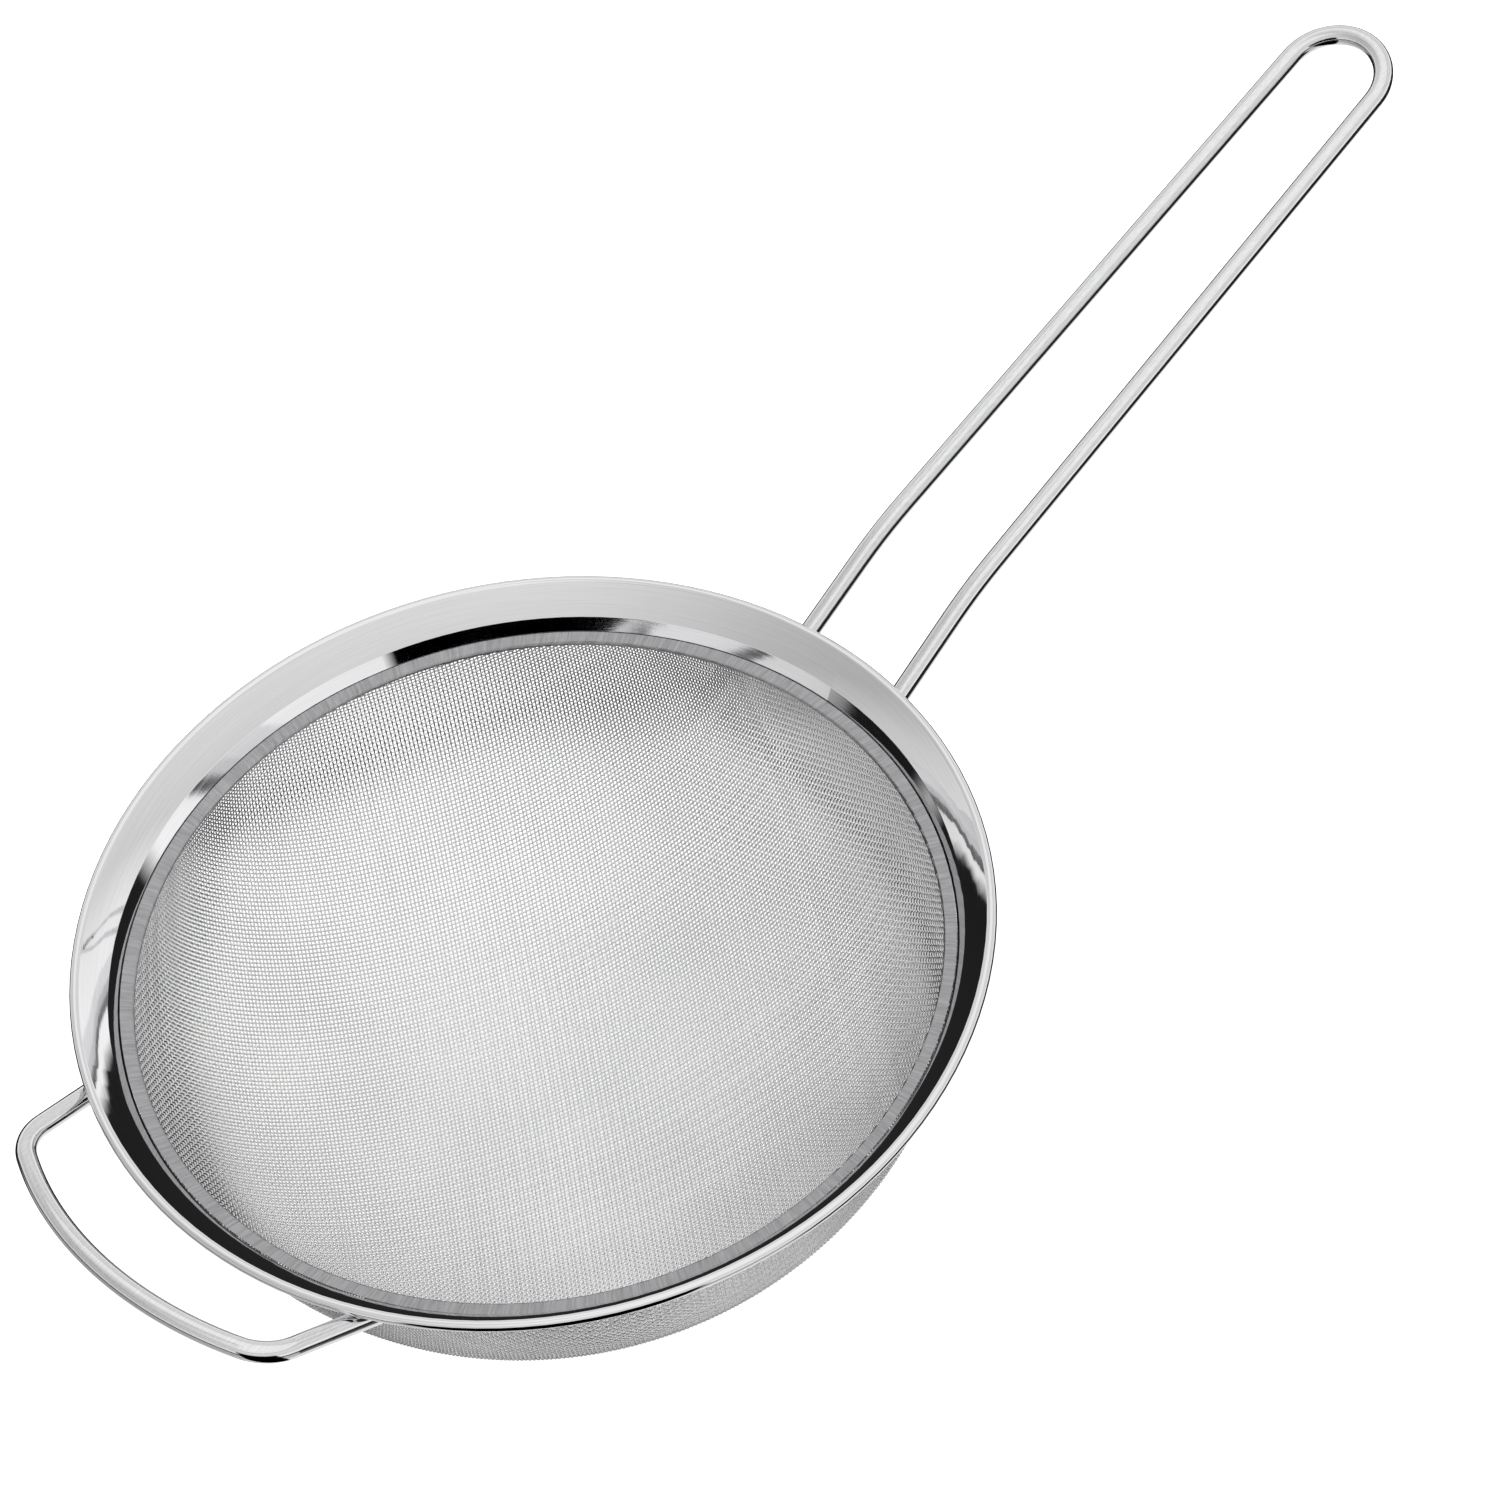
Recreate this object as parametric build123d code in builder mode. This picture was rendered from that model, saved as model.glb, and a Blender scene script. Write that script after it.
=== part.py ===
from build123d import *
import os
from math import atan, cos, radians, sin, sqrt

# Round fine-mesh strainer: a pressed steel rim with a crimped-in bowl of woven wire, a long wire loop
# handle and a wire rest loop opposite it. Millimetres, +Z up. The origin is the centre of the rim,
# level with the middle of its rolled lip, and the handle runs out along +X.

os.makedirs("parts", exist_ok=True)

# Rim: one ring of sheet, seen in section as (radius, height)
rim_radius = 100.0
sheet = 0.7
lip_bead = 1.2                      # radius of the rolled lip
lip_radius = rim_radius - lip_bead  # centre of the roll
flange_top = (98.18, 0.58)          # where the flange leaves the roll
flange_crown = (95.55, -2.43)       # its middle: it curves a little, and steepens inwards
knuckle = (93.1, -5.6)              # the flange turns down into a steeper wall here
skirt_radius = 91.3                 # middle of the upright skirt
crease_height = -9.1                # the wall turns down into the skirt
sheet_bend = 0.6                    # radius of the bends at the knuckle and the crease
skirt_bottom = -12.6

# Bowl of woven wire, as a shell as thick as the weave
mesh_thickness = 0.8
mesh_radius = 90.55
mesh_top = -9.0
bowl_top = -12.0                    # the curved part starts here
bowl_depth = 67.0

# Clamp band: the inner ring that is crimped over the edge of the mesh
band_outer = mesh_radius - mesh_thickness / 2
band_top = (90.9, -8.45)
band_shoulder = -8.9
band_nose = (87.2, -8.9)            # its inner edge, before rounding
band_nose_radius = 0.6
band_bottom = bowl_top

# Wire of the handle and the rest loop
wire = 4.5

# Handle: two legs that draw together towards a round end, and one bend up near the rim
handle_root_x = 89.0
handle_bend_x = 125.6
handle_tip_x = 266.8                # centre of the round end
handle_height = -4.4                # height of the wire under the lip, at the rim's radius
handle_half_width = 14.18           # at the rim's radius
handle_tip_radius = 12.02
handle_root_slope = 0.52
handle_slope = 0.296
handle_bend_radius = 85.0

# Rest loop: two legs, two round corners and a bowed bar, all in one sloping plane
rest_turn = radians(0.9)            # the loop is welded on this far off the handle's line
rest_height = -0.42                 # height of its plane at the rim's radius
rest_slope = 0.363
rest_root = (80.0, 44.28)           # distance from the rim's axis, half width
rest_corner = (108.5, 39.91)
rest_bow = 10.15                    # the bar stands out this far past its corners
rest_corner_radius = 11.6

# Welds: a rounded collar of metal on each wire end
weld_radius = 3.2
weld_length = 3.4
weld_rounding = 0.7
weld_reach = 1.2                    # the collar's middle lies this far outside the skirt

with BuildPart() as rim:
    with BuildSketch(Plane.XZ):
        with BuildLine() as sheet_line:
            ThreePointArc(flange_top, flange_crown, knuckle)
            Polyline(knuckle, (skirt_radius, crease_height), (skirt_radius, skirt_bottom))
            fillet(sheet_line.vertices(), radius=sheet_bend)
        trace(line_width=sheet)
        with Locations((lip_radius, 0)):
            Circle(lip_bead)
    revolve(axis=Axis.Z)

# Everything inside the rim's outer surface, which the wire ends are cut back to
with BuildPart() as rim_envelope:
    with BuildSketch(Plane.XZ):
        with BuildLine():
            Polyline(
                (0, 0),
                (lip_radius, 0),
                flange_top,
                knuckle,
                (skirt_radius, crease_height),
                (skirt_radius, skirt_bottom),
                (0, skirt_bottom),
                close=True,
            )
        make_face()
    revolve(axis=Axis.Z)
    add(rim.part)

# Clamp band: flat against the mesh outside, with a ledge that reaches inwards to a rounded nose
with BuildPart() as clamp_band:
    with BuildSketch(Plane.XZ) as band_face:
        with BuildLine():
            Polyline(
                band_top,
                band_nose,
                (band_outer, band_bottom),
                (band_outer, band_shoulder),
                close=True,
            )
        make_face()
        fillet(band_face.vertices().sort_by(Axis.X)[0], radius=band_nose_radius)
    revolve(axis=Axis.Z)

# Mesh bowl: a short upright edge between band and skirt, and half an ellipsoid below it
with BuildPart() as mesh_bowl:
    with BuildSketch(Plane.XZ):
        with BuildLine():
            outer_radius = mesh_radius + mesh_thickness / 2
            inner_radius = mesh_radius - mesh_thickness / 2
            outer_depth = bowl_depth + mesh_thickness / 2
            inner_depth = bowl_depth - mesh_thickness / 2
            EllipticalCenterArc((0, bowl_top), outer_radius, outer_depth, start_angle=270, arc_size=90)
            EllipticalCenterArc((0, bowl_top), inner_radius, inner_depth, start_angle=270, arc_size=90)
            Line((0, bowl_top - outer_depth), (0, bowl_top - inner_depth))
            Polyline(
                (inner_radius, bowl_top),
                (inner_radius, mesh_top),
                (outer_radius, mesh_top),
                (outer_radius, bowl_top),
            )
        make_face()
    revolve(axis=Axis.Z)

# Handle: the two straight legs meet far out at an apex, and its rounding is the handle's end
taper = (handle_half_width - handle_tip_radius) / (handle_tip_x - rim_radius)


def handle_half(x):
    return handle_half_width - taper * (x - rim_radius)


def handle_z(x):
    root_part = min(x, handle_bend_x) - rim_radius
    outer_part = max(x - handle_bend_x, 0)
    return handle_height + handle_root_slope * root_part + handle_slope * outer_part


apex_x = rim_radius + handle_half_width / taper
with BuildPart() as handle:
    with BuildLine() as handle_path:
        FilletPolyline(
            (handle_root_x, handle_half(handle_root_x), handle_z(handle_root_x)),
            (handle_bend_x, handle_half(handle_bend_x), handle_z(handle_bend_x)),
            (apex_x, 0, handle_z(apex_x)),
            (handle_bend_x, -handle_half(handle_bend_x), handle_z(handle_bend_x)),
            (handle_root_x, -handle_half(handle_root_x), handle_z(handle_root_x)),
            radius=(handle_bend_radius, handle_tip_radius, handle_bend_radius),
        )
    handle_wire = handle_path.wire()
    with BuildSketch(Plane(origin=handle_wire @ 0, z_dir=handle_wire % 0)):
        Circle(wire / 2)
    sweep(path=handle_wire)
    add(rim_envelope.part, mode=Mode.SUBTRACT)

# Rest loop: drawn flat in its own plane, whose x runs outwards and up the slope
incline = atan(rest_slope)
rest_plane = Plane(
    origin=(-rim_radius * cos(rest_turn), rim_radius * sin(rest_turn), rest_height),
    x_dir=(-cos(rest_turn) * cos(incline), sin(rest_turn) * cos(incline), sin(incline)),
    z_dir=(-cos(rest_turn) * sin(incline), sin(rest_turn) * sin(incline), -cos(incline)),
)


def on_slope(distance, half_width):
    return ((distance - rim_radius) / cos(incline), half_width)


with BuildPart() as rest_loop:
    with BuildLine(rest_plane) as rest_path:
        Line(on_slope(*rest_root), on_slope(*rest_corner))
        ThreePointArc(
            on_slope(*rest_corner),
            on_slope(rest_corner[0] + rest_bow, 0),
            on_slope(rest_corner[0], -rest_corner[1]),
        )
        Line(on_slope(rest_corner[0], -rest_corner[1]), on_slope(rest_root[0], -rest_root[1]))
        fillet(rest_path.vertices(), radius=rest_corner_radius)
    rest_wire = rest_path.wire()
    with BuildSketch(Plane(origin=rest_wire @ 0, z_dir=rest_wire % 0)):
        Circle(wire / 2)
    sweep(path=rest_wire)
    add(rim_envelope.part, mode=Mode.SUBTRACT)


# The rim's outer surface again with plain corners, which the welds are cut back to
skirt_outer = skirt_radius + sheet / 2
wall_slope = (knuckle[1] - crease_height) / (knuckle[0] - skirt_radius)
flange_slope = (flange_top[1] - knuckle[1]) / (flange_top[0] - knuckle[0])


def slant(slope):
    return sheet / 2 * sqrt(1 + slope**2)


def underside(slope, radius):
    return knuckle[1] + (radius - knuckle[0]) * slope - slant(slope)


knuckle_outer = knuckle[0] + (slant(wall_slope) - slant(flange_slope)) / (wall_slope - flange_slope)
with BuildPart() as weld_stop:
    with BuildSketch(Plane.XZ):
        with BuildLine():
            Polyline(
                (0, underside(flange_slope, rim_radius)),
                (rim_radius, underside(flange_slope, rim_radius)),
                (knuckle_outer, underside(flange_slope, knuckle_outer)),
                (skirt_outer, underside(wall_slope, skirt_outer)),
                (skirt_outer, skirt_bottom - weld_radius),
                (0, skirt_bottom - weld_radius),
                close=True,
            )
        make_face()
    revolve(axis=Axis.Z)


# Welds: each is a round collar of metal on a wire end, cut back to the rim that it joins
def weld_plane(path_wire, end):
    inner = path_wire @ end
    outward = (path_wire % end) * (1 if end == 0 else -1)
    run = skirt_radius + weld_reach - sqrt(inner.X**2 + inner.Y**2)
    return Plane(origin=inner + outward * run, z_dir=outward)


def weld_collar(plane):
    with BuildPart(mode=Mode.PRIVATE) as collar:
        with BuildSketch(plane):
            Circle(weld_radius)
            Circle(wire / 2, mode=Mode.SUBTRACT)
        extrude(amount=weld_length / 2, both=True)
        outer_rim = collar.edges().filter_by(GeomType.CIRCLE).sort_by(lambda e: -e.radius)[:2]
        fillet(outer_rim, radius=weld_rounding)
        add(weld_stop.part, mode=Mode.SUBTRACT)
    return collar.part


with BuildPart() as handle_welds:
    add(weld_collar(weld_plane(handle_wire, 0)))
    add(weld_collar(weld_plane(handle_wire, 1)))

with BuildPart() as rest_loop_welds:
    add(weld_collar(weld_plane(rest_wire, 0)))
    add(weld_collar(weld_plane(rest_wire, 1)))

rim.part.label = "rim"
export_step(rim.part, "parts/rim.step")

clamp_band.part.label = "clamp_band"
export_step(clamp_band.part, "parts/clamp_band.step")

mesh_bowl.part.label = "mesh_bowl"
export_step(mesh_bowl.part, "parts/mesh_bowl.step")

handle.part.label = "handle"
export_step(handle.part, "parts/handle.step")

rest_loop.part.label = "rest_loop"
export_step(rest_loop.part, "parts/rest_loop.step")

handle_welds.part.label = "handle_welds"
export_step(handle_welds.part, "parts/handle_welds.step")

rest_loop_welds.part.label = "rest_loop_welds"
export_step(rest_loop_welds.part, "parts/rest_loop_welds.step")
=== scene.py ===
import math

import bpy
import numpy as np
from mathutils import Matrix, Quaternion, Vector


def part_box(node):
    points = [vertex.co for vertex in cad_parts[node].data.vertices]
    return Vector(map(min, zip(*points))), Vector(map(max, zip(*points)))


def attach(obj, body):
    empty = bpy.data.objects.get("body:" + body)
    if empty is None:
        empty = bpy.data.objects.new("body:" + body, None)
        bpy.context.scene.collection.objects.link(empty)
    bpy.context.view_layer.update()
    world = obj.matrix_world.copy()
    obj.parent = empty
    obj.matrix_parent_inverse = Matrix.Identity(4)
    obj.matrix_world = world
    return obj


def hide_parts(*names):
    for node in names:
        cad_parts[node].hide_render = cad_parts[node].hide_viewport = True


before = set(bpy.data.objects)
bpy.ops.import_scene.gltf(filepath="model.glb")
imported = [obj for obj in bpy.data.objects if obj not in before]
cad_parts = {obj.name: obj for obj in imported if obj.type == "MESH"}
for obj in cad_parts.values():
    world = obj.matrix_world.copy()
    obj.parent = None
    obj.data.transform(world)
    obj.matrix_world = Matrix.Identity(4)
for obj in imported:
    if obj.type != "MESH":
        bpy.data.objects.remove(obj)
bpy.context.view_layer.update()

# ---- Camera -------------------------------------------------------------------------------------
# It stands on the rest loop's side, looks down into the bowl, and is rolled a little so that the
# handle runs up to the right.
camera_place = Vector((-0.3182, -0.4882, 0.7503))
camera_aim = Vector((0.0656, -0.0020, 0.0))
camera_roll = math.radians(-9.5)

camera_data = bpy.data.cameras.new("camera")
camera_data.sensor_width = 36.0
camera_data.lens = 106.3
camera = bpy.data.objects.new("camera", camera_data)
camera.location = camera_place
camera.rotation_mode = "QUATERNION"
looking = (camera_aim - camera_place).to_track_quat("-Z", "Y")
camera.rotation_quaternion = looking @ Quaternion((0, 0, 1), camera_roll)
bpy.context.scene.collection.objects.link(camera)
bpy.context.scene.camera = camera

# ---- Studio -------------------------------------------------------------------------------------
# A white table in a white room: the walls are dark below table height, and a dark opening stands on
# the camera's side, so polished steel has something black to mirror. None of it is the strainer's.
floor_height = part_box("mesh_bowl")[0][2] - 0.0003
floor_half = 6.0

floor_paint = bpy.data.materials.new("pale_floor")
floor_paint.use_nodes = True
floor_shader = floor_paint.node_tree.nodes["Principled BSDF"]
floor_shader.inputs["Base Color"].default_value = (0.9, 0.9, 0.9, 1)
floor_shader.inputs["Roughness"].default_value = 1.0
floor_shader.inputs["Specular IOR Level"].default_value = 0.0
floor_shader.inputs["Emission Color"].default_value = (1, 1, 1, 1)
floor_shader.inputs["Emission Strength"].default_value = 0.62

floor_mesh = bpy.data.meshes.new("floor")
floor_corners = [(-1, -1), (1, -1), (1, 1), (-1, 1)]
floor_mesh.from_pydata([(x * floor_half, y * floor_half, floor_height) for x, y in floor_corners],
                       [], [(0, 1, 2, 3)])
floor_mesh.materials.append(floor_paint)
floor = bpy.data.objects.new("floor", floor_mesh)
floor.visible_glossy = False
bpy.context.scene.collection.objects.link(floor)
bpy.context.scene.view_settings.view_transform = "Standard"

room = bpy.data.worlds.new("white_room")
room.use_nodes = True
room_tree = room.node_tree


def room_math(operation, *values, clamp=False):
    node = room_tree.nodes.new("ShaderNodeMath")
    node.operation = operation
    node.use_clamp = clamp
    for socket, value in zip(node.inputs, values):
        if isinstance(value, bpy.types.NodeSocket):
            room_tree.links.new(value, socket)
        else:
            socket.default_value = value
    return node.outputs[0]


def room_ramp(value, stops):
    node = room_tree.nodes.new("ShaderNodeValToRGB")
    ramp = node.color_ramp
    while len(ramp.elements) < len(stops):
        ramp.elements.new(0.5)
    for element, (place, grey) in zip(ramp.elements, stops):
        element.position = place
        element.color = (grey, grey, grey * 1.01, 1)
    room_tree.links.new(value, node.inputs["Fac"])
    return node.outputs["Color"]


room_place = room_tree.nodes.new("ShaderNodeTexCoord")
room_split = room_tree.nodes.new("ShaderNodeSeparateXYZ")
room_tree.links.new(room_place.outputs["Generated"], room_split.inputs[0])
east, north, up = room_split.outputs


def turn_from(azimuth):
    """How far round from an azimuth a direction lies, from minus pi to plus pi."""
    ahead = room_math("ADD", room_math("MULTIPLY", east, math.cos(azimuth)),
                      room_math("MULTIPLY", north, math.sin(azimuth)))
    aside = room_math("SUBTRACT", room_math("MULTIPLY", north, math.cos(azimuth)),
                      room_math("MULTIPLY", east, math.sin(azimuth)))
    return room_math("ARCTAN2", aside, ahead)


def beyond(value, edge, sharpness):
    """0 short of an edge and 1 past it."""
    return room_math("MULTIPLY", room_math("SUBTRACT", value, edge), sharpness, clamp=True)


# heights run from 0, straight down, through 0.5, the horizon, to 1, straight up
room_height = room_math("MULTIPLY_ADD", up, 0.5, 0.5)
walls = room_ramp(room_height, [(0.0, 0.92), (0.12, 0.85), (0.15, 0.02), (0.43, 0.015), (0.45, 1.05),
                                (0.56, 0.95), (0.63, 0.72), (0.79, 0.82), (0.83, 0.60), (0.86, 0.93),
                                (1.0, 1.0)])
# on the handle's side the dark reaches down to the table, and elsewhere it is a narrow strip over grey
low_grey = room_ramp(room_height, [(0.14, 0.0), (0.15, 0.57), (0.35, 0.55), (0.37, 0.0)])
handle_side = math.radians(15)
handle_side_half = math.radians(95)
away_from_handle = beyond(room_math("ABSOLUTE", turn_from(handle_side)), handle_side_half, 8.0)
low_grey_away = room_math("MULTIPLY", low_grey, away_from_handle)
# the dark opening
opening_turn = math.radians(224)
opening_half = math.radians(28)
opening_head = 0.60
beside_opening = beyond(room_math("ABSOLUTE", turn_from(opening_turn)), opening_half, 19.0)
above_opening = beyond(room_height, opening_head, 40.0)
not_opening = room_math("MAXIMUM", beside_opening, above_opening)
# the wall on the left is a little darker than the others
left_turn = math.radians(142)
left_depth = 0.32
left_share = room_math("POWER", room_math("MAXIMUM", room_math("COSINE", turn_from(left_turn)), 0.0), 3.0)
left_shade = room_math("SUBTRACT", 1.0, room_math("MULTIPLY", left_share, left_depth))
wall_light = room_math("MAXIMUM", walls, low_grey_away)
room_light = room_math("MULTIPLY", wall_light, room_math("MULTIPLY", not_opening, left_shade))
room_tree.links.new(room_light, room_tree.nodes["Background"].inputs["Color"])
room_tree.nodes["Background"].inputs["Strength"].default_value = 1.0
bpy.context.scene.world = room


def soft_light(name, place, size, power):
    data = bpy.data.lights.new(name, "AREA")
    data.shape = "RECTANGLE"
    data.size, data.size_y = size
    data.energy = power
    light = bpy.data.objects.new(name, data)
    light.location = place
    light.rotation_mode = "QUATERNION"
    light.rotation_quaternion = (-Vector(place)).to_track_quat("-Z", "Y")
    light.visible_glossy = False
    bpy.context.scene.collection.objects.link(light)


soft_light("overhead_light", (0.1, 0.1, 1.6), (1.6, 1.6), 6)


# ---- Rim ----------------------------------------------------------------------------------------
# One ring of stainless sheet, pressed and polished: a rolled lip, a sloping flange, a short wall and
# the upright skirt that the cloth's edge sits in. Buffing leaves faint marks that run round it.
def steel(name):
    material = bpy.data.materials.new(name)
    material.use_nodes = True
    shader = material.node_tree.nodes["Principled BSDF"]
    shader.inputs["Metallic"].default_value = 1.0
    return material, material.node_tree, shader


def add_node(tree, kind, settings=None, **sockets):
    """A node with its settings, and its sockets set or linked by name (spaces as underscores)."""
    node = tree.nodes.new("ShaderNode" + kind)
    for key, value in (settings or {}).items():
        setattr(node, key, value)
    for key, value in sockets.items():
        place = int(key[1:]) if key[1:].isdigit() else key.replace("_", " ")
        if isinstance(value, bpy.types.NodeSocket):
            tree.links.new(value, node.inputs[place])
        else:
            node.inputs[place].default_value = value
    return node


def turned_streaks(tree, run, fineness, detail=3.0, lean=0.0):
    """Noise drawn out round the Z axis, as polishing and rolling marks are. run is a mark's size round
    the ring and fineness its size across, in metres; lean is how far it slants round as it rises."""
    place = add_node(tree, "TexCoord").outputs["Object"]
    split = add_node(tree, "SeparateXYZ", Vector=place).outputs
    turn = add_node(tree, "Math", {"operation": "ARCTAN2"}, i0=split[1], i1=split[0]).outputs[0]
    flat = add_node(tree, "CombineXYZ", X=split[0], Y=split[1]).outputs[0]
    reach = add_node(tree, "VectorMath", {"operation": "LENGTH"}, i0=flat).outputs["Value"]
    ring_radius = 0.1
    level = add_node(tree, "Math", {"operation": "MULTIPLY"}, i0=turn, i1=ring_radius / run).outputs[0]
    slanted = add_node(tree, "Math", {"operation": "MULTIPLY_ADD"}, i0=split[2], i1=lean / run,
                       i2=level).outputs[0]
    polar = add_node(tree, "CombineXYZ", X=slanted,
                     Y=add_node(tree, "Math", {"operation": "DIVIDE"}, i0=reach, i1=fineness).outputs[0],
                     Z=add_node(tree, "Math", {"operation": "DIVIDE"}, i0=split[2], i1=fineness).outputs[0])
    noise = add_node(tree, "TexNoise", Vector=polar.outputs[0], Scale=1.0, Detail=detail, Roughness=0.6)
    return noise.outputs["Fac"]


def spread(tree, value, low, high):
    """Carries noise, which mostly lies between 0.3 and 0.7, to the range from low to high."""
    return add_node(tree, "MapRange", Value=value, From_Min=0.3, From_Max=0.7, To_Min=low,
                    To_Max=high).outputs[0]


def grey_between(tree, value, dark, bright):
    mix = add_node(tree, "Mix", {"data_type": "RGBA"})
    tree.links.new(value, mix.inputs["Factor"])
    mix.inputs[6].default_value = (*dark, 1)
    mix.inputs[7].default_value = (*bright, 1)
    return mix.outputs[2]


def bumped(tree, shader, height, depth):
    bump = add_node(tree, "Bump", Height=height, Distance=depth, Strength=1.0)
    tree.links.new(bump.outputs["Normal"], shader.inputs["Normal"])


rim_steel, rim_tree, rim_shader = steel("polished_rim_steel")
wiping = turned_streaks(rim_tree, run=0.03, fineness=0.0004)
rim_haze = add_node(rim_tree, "TexNoise", Scale=60.0, Detail=2.0,
                    Vector=add_node(rim_tree, "TexCoord").outputs["Object"]).outputs["Fac"]
rim_marks = add_node(rim_tree, "Math", {"operation": "MULTIPLY"}, i0=wiping, i1=rim_haze).outputs[0]
rim_rough = add_node(rim_tree, "MapRange", Value=rim_marks, From_Min=0.1, From_Max=0.45, To_Min=0.015,
                     To_Max=0.07).outputs[0]
rim_tree.links.new(rim_rough, rim_shader.inputs["Roughness"])
rim_colour = grey_between(rim_tree, spread(rim_tree, wiping, 0, 1), (0.80, 0.80, 0.81), (0.87, 0.87, 0.88))
rim_tree.links.new(rim_colour, rim_shader.inputs["Base Color"])
bumped(rim_tree, rim_shader, wiping, 0.0000012)
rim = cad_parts["rim"]
rim.data.materials.clear()
rim.data.materials.append(rim_steel)

# ---- Clamp band ---------------------------------------------------------------------------------
# A narrow ring of matt stainless sheet inside the skirt, rolled in over the edge of the cloth so that
# it cannot pull out. Rolling leaves marks round it, and the cloth's wires show through as slanting ones. Its
# colour is also painted darker towards its lower edge: painted shade.
band_steel, band_tree, band_shader = steel("matt_band_steel")
rolling = turned_streaks(band_tree, run=0.012, fineness=0.00022, detail=4.0)
slanting = turned_streaks(band_tree, run=0.0005, fineness=0.006, detail=2.0, lean=1.2)
band_tree.links.new(spread(band_tree, rolling, 0.30, 0.46), band_shader.inputs["Roughness"])
band_low, band_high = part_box("clamp_band")
band_place = add_node(band_tree, "TexCoord").outputs["Object"]
band_level = add_node(band_tree, "SeparateXYZ", Vector=band_place).outputs[2]
# painted shade: the colour falls from full at the band's top to 0.35 at its bottom, standing in for the
# shading of its bulge
band_painted_shade = add_node(band_tree, "MapRange", Value=band_level, From_Min=band_low[2], From_Max=band_high[2],
                     To_Min=0.35, To_Max=1.0).outputs[0]
# the band's tone is the slanting marks times the painted shade
band_marks_and_painted_shade = add_node(band_tree, "Math", {"operation": "MULTIPLY"}, i0=spread(band_tree, slanting, 0.25, 1),
                     i1=band_painted_shade).outputs[0]
band_colour = grey_between(band_tree, band_marks_and_painted_shade, (0.28, 0.28, 0.29), (0.50, 0.50, 0.51))
band_tree.links.new(band_colour, band_shader.inputs["Base Color"])
bumped(band_tree, band_shader, rolling, 0.000004)
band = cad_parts["clamp_band"]
band.data.materials.clear()
band.data.materials.append(band_steel)

# ---- Wire cloth bowl ----------------------------------------------------------------------------
# Plain-weave stainless cloth, drawn into a bowl. Every wire is one piece that passes over and under
# the wires that cross it, and the weave shears where the bowl curves, so its cells turn to diamonds.
bowl_low, bowl_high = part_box("mesh_bowl")
cloth_half = 0.0004
bowl_radius = bowl_high[0] - cloth_half
bowl_top = bowl_high[2]
bowl_shoulder = bowl_top - 0.003
bowl_depth = bowl_shoulder - (bowl_low[2] + cloth_half)
wire_pitch = 0.00095
cloth_wire = 0.0004
warp_turn = math.radians(54)
weft_turn = math.radians(-21)


def bowl_level(points):
    """Zero on the cloth's middle surface: half an ellipsoid below the shoulder, a cylinder above it."""
    below = np.minimum(points[:, 2] - bowl_shoulder, 0)
    return (points[:, 0] ** 2 + points[:, 1] ** 2) / bowl_radius**2 + (below / bowl_depth) ** 2 - 1


def bowl_slope(points):
    below = np.minimum(points[:, 2] - bowl_shoulder, 0)
    return np.stack([2 * points[:, 0] / bowl_radius**2, 2 * points[:, 1] / bowl_radius**2,
                     2 * below / bowl_depth**2], axis=1)


def wire_through_bottom(turn, count):
    """The middle wire of a family, straight up the bowl's side, as points one pitch apart."""
    angle = np.linspace(0, math.pi / 2, 4001)
    radius = bowl_radius * np.sin(angle)
    height = bowl_shoulder - bowl_depth * np.cos(angle)
    length = np.concatenate([[0], np.cumsum(np.hypot(np.diff(radius), np.diff(height)))])
    want = np.arange(count + 1) * wire_pitch
    out = np.interp(want, length, radius)
    up = np.interp(want, length, height) + np.maximum(want - length[-1], 0)
    return np.stack([out * math.cos(turn), out * math.sin(turn), up], axis=1)


def woven_quarter(turn_a, turn_b, count):
    """Crossings between two middle wires: each is one pitch along both wires from the last ones."""
    net = np.full((count + 1, count + 1, 3), np.nan)
    net[:, 0] = wire_through_bottom(turn_a, count)
    net[0, :] = wire_through_bottom(turn_b, count)
    for diagonal in range(2, 2 * count + 1):
        i = np.arange(max(1, diagonal - count), min(count, diagonal - 1) + 1)
        j = diagonal - i
        a, b, back = net[i - 1, j], net[i, j - 1], net[i - 1, j - 1]
        inside = np.fmin(a[:, 2], b[:, 2]) < bowl_top + 2 * wire_pitch
        inside &= ~np.isnan(a[:, 0] + b[:, 0] + back[:, 0])
        if not inside.any():
            continue
        a, b, back = a[inside], b[inside], back[inside]
        spot = a + b - back
        for _ in range(8):
            miss = np.stack([((spot - a) ** 2).sum(1) - wire_pitch**2,
                             ((spot - b) ** 2).sum(1) - wire_pitch**2,
                             bowl_level(spot) * bowl_radius**2], axis=1)
            rates = np.stack([2 * (spot - a), 2 * (spot - b), bowl_slope(spot) * bowl_radius**2], axis=1)
            spot = spot - np.linalg.solve(rates, miss[..., None])[..., 0]
        net[i[inside], j[inside]] = spot
    return net


steps = int(1.05 * math.pi / 2 * bowl_radius / wire_pitch)
crossings = np.full((2 * steps + 1, 2 * steps + 1, 3), np.nan)
for way_a in (1, -1):
    for way_b in (1, -1):
        quarter = woven_quarter(warp_turn + (way_a < 0) * math.pi, weft_turn + (way_b < 0) * math.pi, steps)
        crossings[steps::way_a, steps::way_b][: steps + 1, : steps + 1] = quarter

kept = crossings[..., 2] <= bowl_top
outward = bowl_slope(crossings.reshape(-1, 3)).reshape(crossings.shape)
outward /= np.linalg.norm(outward, axis=2, keepdims=True)
rows, columns = np.indices(kept.shape)
over = np.where((rows + columns) % 2, 1.0, -1.0)[..., None] * outward * cloth_wire / 2

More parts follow.
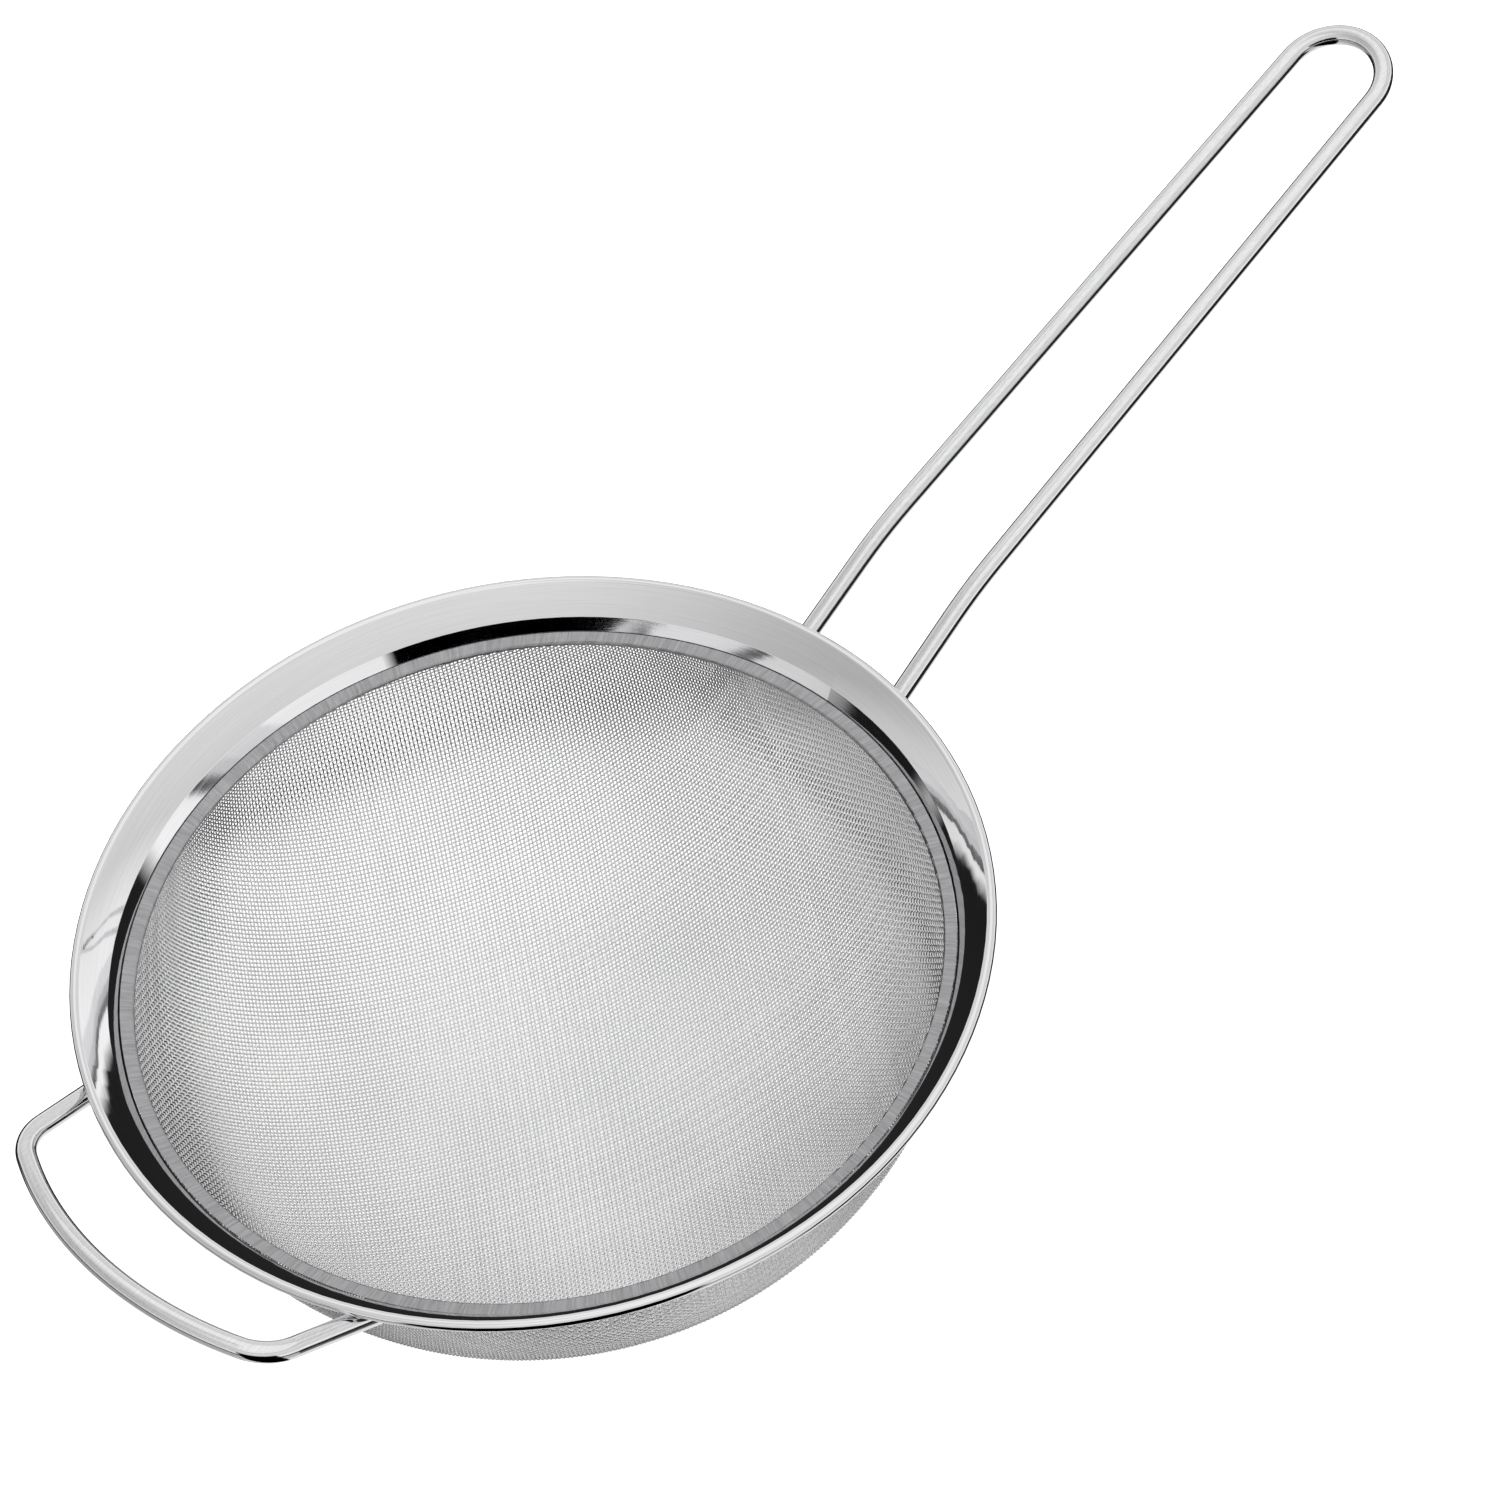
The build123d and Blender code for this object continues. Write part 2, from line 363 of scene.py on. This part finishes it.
cloth_steel, cloth_tree, cloth_shader = steel("drawn_cloth_wire")
cloth_place = add_node(cloth_tree, "TexCoord").outputs["Object"]
draw_marks = add_node(cloth_tree, "TexNoise", Vector=cloth_place, Scale=1600.0, Detail=2.0).outputs["Fac"]
cloth_batch = add_node(cloth_tree, "TexNoise", Vector=cloth_place, Scale=35.0, Detail=1.0).outputs["Fac"]
cloth_tree.links.new(spread(cloth_tree, draw_marks, 0.14, 0.30), cloth_shader.inputs["Roughness"])
cloth_tone = add_node(cloth_tree, "Math", {"operation": "MULTIPLY"}, i0=draw_marks, i1=cloth_batch).outputs[0]
cloth_grey = add_node(cloth_tree, "MapRange", Value=cloth_tone, From_Min=0.12, From_Max=0.42, To_Min=0.0,
                      To_Max=1.0).outputs[0]
cloth_colour = grey_between(cloth_tree, cloth_grey, (0.78, 0.78, 0.79), (0.94, 0.94, 0.94))
cloth_tree.links.new(cloth_colour, cloth_shader.inputs["Base Color"])


def wire_sweep_tree():
    """Turns each line of points into a round wire."""
    tree = bpy.data.node_groups.new("sweep_cloth_wires", "GeometryNodeTree")
    tree.is_modifier = True
    tree.interface.new_socket("Lines", in_out="INPUT", socket_type="NodeSocketGeometry")
    tree.interface.new_socket("Wire Radius", in_out="INPUT", socket_type="NodeSocketFloat")
    tree.interface.new_socket("Sides", in_out="INPUT", socket_type="NodeSocketInt")
    tree.interface.new_socket("Wire Steel", in_out="INPUT", socket_type="NodeSocketMaterial")
    tree.interface.new_socket("Wires", in_out="OUTPUT", socket_type="NodeSocketGeometry")
    entry = tree.nodes.new("NodeGroupInput")
    to_curve = tree.nodes.new("GeometryNodeMeshToCurve")
    circle = tree.nodes.new("GeometryNodeCurvePrimitiveCircle")
    sweep = tree.nodes.new("GeometryNodeCurveToMesh")
    sweep.inputs["Fill Caps"].default_value = True
    smooth = tree.nodes.new("GeometryNodeSetShadeSmooth")
    realize = tree.nodes.new("GeometryNodeRealizeInstances")
    paint = tree.nodes.new("GeometryNodeSetMaterial")
    leave = tree.nodes.new("NodeGroupOutput")
    link = tree.links.new
    link(entry.outputs["Lines"], to_curve.inputs["Mesh"])
    link(entry.outputs["Wire Radius"], circle.inputs["Radius"])
    link(entry.outputs["Sides"], circle.inputs["Resolution"])
    link(to_curve.outputs["Curve"], sweep.inputs["Curve"])
    link(circle.outputs["Curve"], sweep.inputs["Profile Curve"])
    link(sweep.outputs["Mesh"], smooth.inputs["Geometry"])
    link(smooth.outputs["Geometry"], realize.inputs["Geometry"])
    link(realize.outputs["Geometry"], paint.inputs["Geometry"])
    link(entry.outputs["Wire Steel"], paint.inputs["Material"])
    link(paint.outputs["Geometry"], leave.inputs["Wires"])
    return tree


def run_nodes(obj, tree, settings):
    """Runs a node tree on an object with its inputs set by identifier, and keeps the plain result."""
    modifier = obj.modifiers.new(tree.name, "NODES")
    modifier.node_group = tree
    for item in tree.interface.items_tree:
        if item.name in settings:
            modifier[item.identifier] = settings[item.name]
    depsgraph = bpy.context.evaluated_depsgraph_get()
    made = bpy.data.meshes.new_from_object(obj.evaluated_get(depsgraph))
    obj.modifiers.remove(modifier)
    obj.data = made
    return obj


cloth_sweep = wire_sweep_tree()
wires_per_piece = 70


def cloth_piece(name, family, first, last):
    """One band of neighbouring wires of a family."""
    centres = (crossings + over) if family == "warp" else (crossings - over)
    shown = kept
    if family == "weft":
        centres, shown = centres.swapaxes(0, 1), kept.swapaxes(0, 1)
    points, edges = [], []
    for wire in range(first, last):
        held = np.flatnonzero(shown[:, wire])
        start = len(points)
        points.extend(centres[held, wire])
        edges.extend((start + k, start + k + 1) for k in range(len(held) - 1))
    mesh = bpy.data.meshes.new(name)
    mesh.from_pydata(points, edges, [])
    piece = bpy.data.objects.new(name, mesh)
    bpy.context.scene.collection.objects.link(piece)
    run_nodes(piece, cloth_sweep, {"Wire Radius": cloth_wire / 2, "Sides": 5, "Wire Steel": cloth_steel})
    piece.visible_glossy = False
    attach(piece, "root")
    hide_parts("mesh_bowl")


for family in ("warp", "weft"):
    used = np.flatnonzero(kept.any(axis=0 if family == "warp" else 1))
    for part, first in enumerate(range(used[0], used[-1] + 1, wires_per_piece)):
        last = min(first + wires_per_piece, used[-1] + 1)
        cloth_piece(f"cloth_{family}_{part + 1}", family, first, last)

# ---- Handle and rest loop -----------------------------------------------------------------------
# Two lengths of drawn and polished stainless wire: one bent to the long handle, one to the wide rest
# opposite it. Both are welded by their ends to the outside of the rim.
wire_steel, wire_tree, wire_shader = steel("drawn_handle_wire")
wire_place = add_node(wire_tree, "TexCoord").outputs["Object"]
along_wire = add_node(wire_tree, "Mapping", Vector=wire_place, Scale=(0.03, 1.0, 1.0)).outputs[0]
drawing = add_node(wire_tree, "TexNoise", Vector=along_wire, Scale=2600.0, Detail=3.0).outputs["Fac"]
handling = add_node(wire_tree, "TexNoise", Vector=wire_place, Scale=90.0, Detail=3.0).outputs["Fac"]
wire_marks = add_node(wire_tree, "Math", {"operation": "MULTIPLY"}, i0=drawing, i1=handling).outputs[0]
wire_rough = add_node(wire_tree, "MapRange", Value=wire_marks, From_Min=0.1, From_Max=0.45, To_Min=0.04,
                      To_Max=0.17).outputs[0]
wire_tree.links.new(wire_rough, wire_shader.inputs["Roughness"])
wire_colour = grey_between(wire_tree, spread(wire_tree, drawing, 0, 1), (0.76, 0.76, 0.77), (0.86, 0.86, 0.87))
wire_tree.links.new(wire_colour, wire_shader.inputs["Base Color"])
bumped(wire_tree, wire_shader, drawing, 0.000002)
for node in ("handle", "rest_loop"):
    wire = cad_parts[node]
    wire.data.materials.clear()
    wire.data.materials.append(wire_steel)

# ---- Welds --------------------------------------------------------------------------------------
# Four small collars of weld metal where the wires meet the rim, ground back and a little straw-tinted
# by the heat.
weld_steel, weld_tree, weld_shader = steel("weld_metal")
weld_place = add_node(weld_tree, "TexCoord").outputs["Object"]
ripple = add_node(weld_tree, "TexNoise", Vector=weld_place, Scale=900.0, Detail=2.0).outputs["Fac"]
heat = add_node(weld_tree, "TexNoise", Vector=weld_place, Scale=220.0, Detail=1.0).outputs["Fac"]
weld_colour = grey_between(weld_tree, spread(weld_tree, heat, 0, 1), (0.44, 0.44, 0.45), (0.62, 0.57, 0.49))
weld_tree.links.new(weld_colour, weld_shader.inputs["Base Color"])
weld_tree.links.new(spread(weld_tree, ripple, 0.28, 0.5), weld_shader.inputs["Roughness"])
bumped(weld_tree, weld_shader, ripple, 0.00006)
for node in ("handle_welds", "rest_loop_welds"):
    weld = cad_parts[node]
    weld.data.materials.clear()
    weld.data.materials.append(weld_steel)
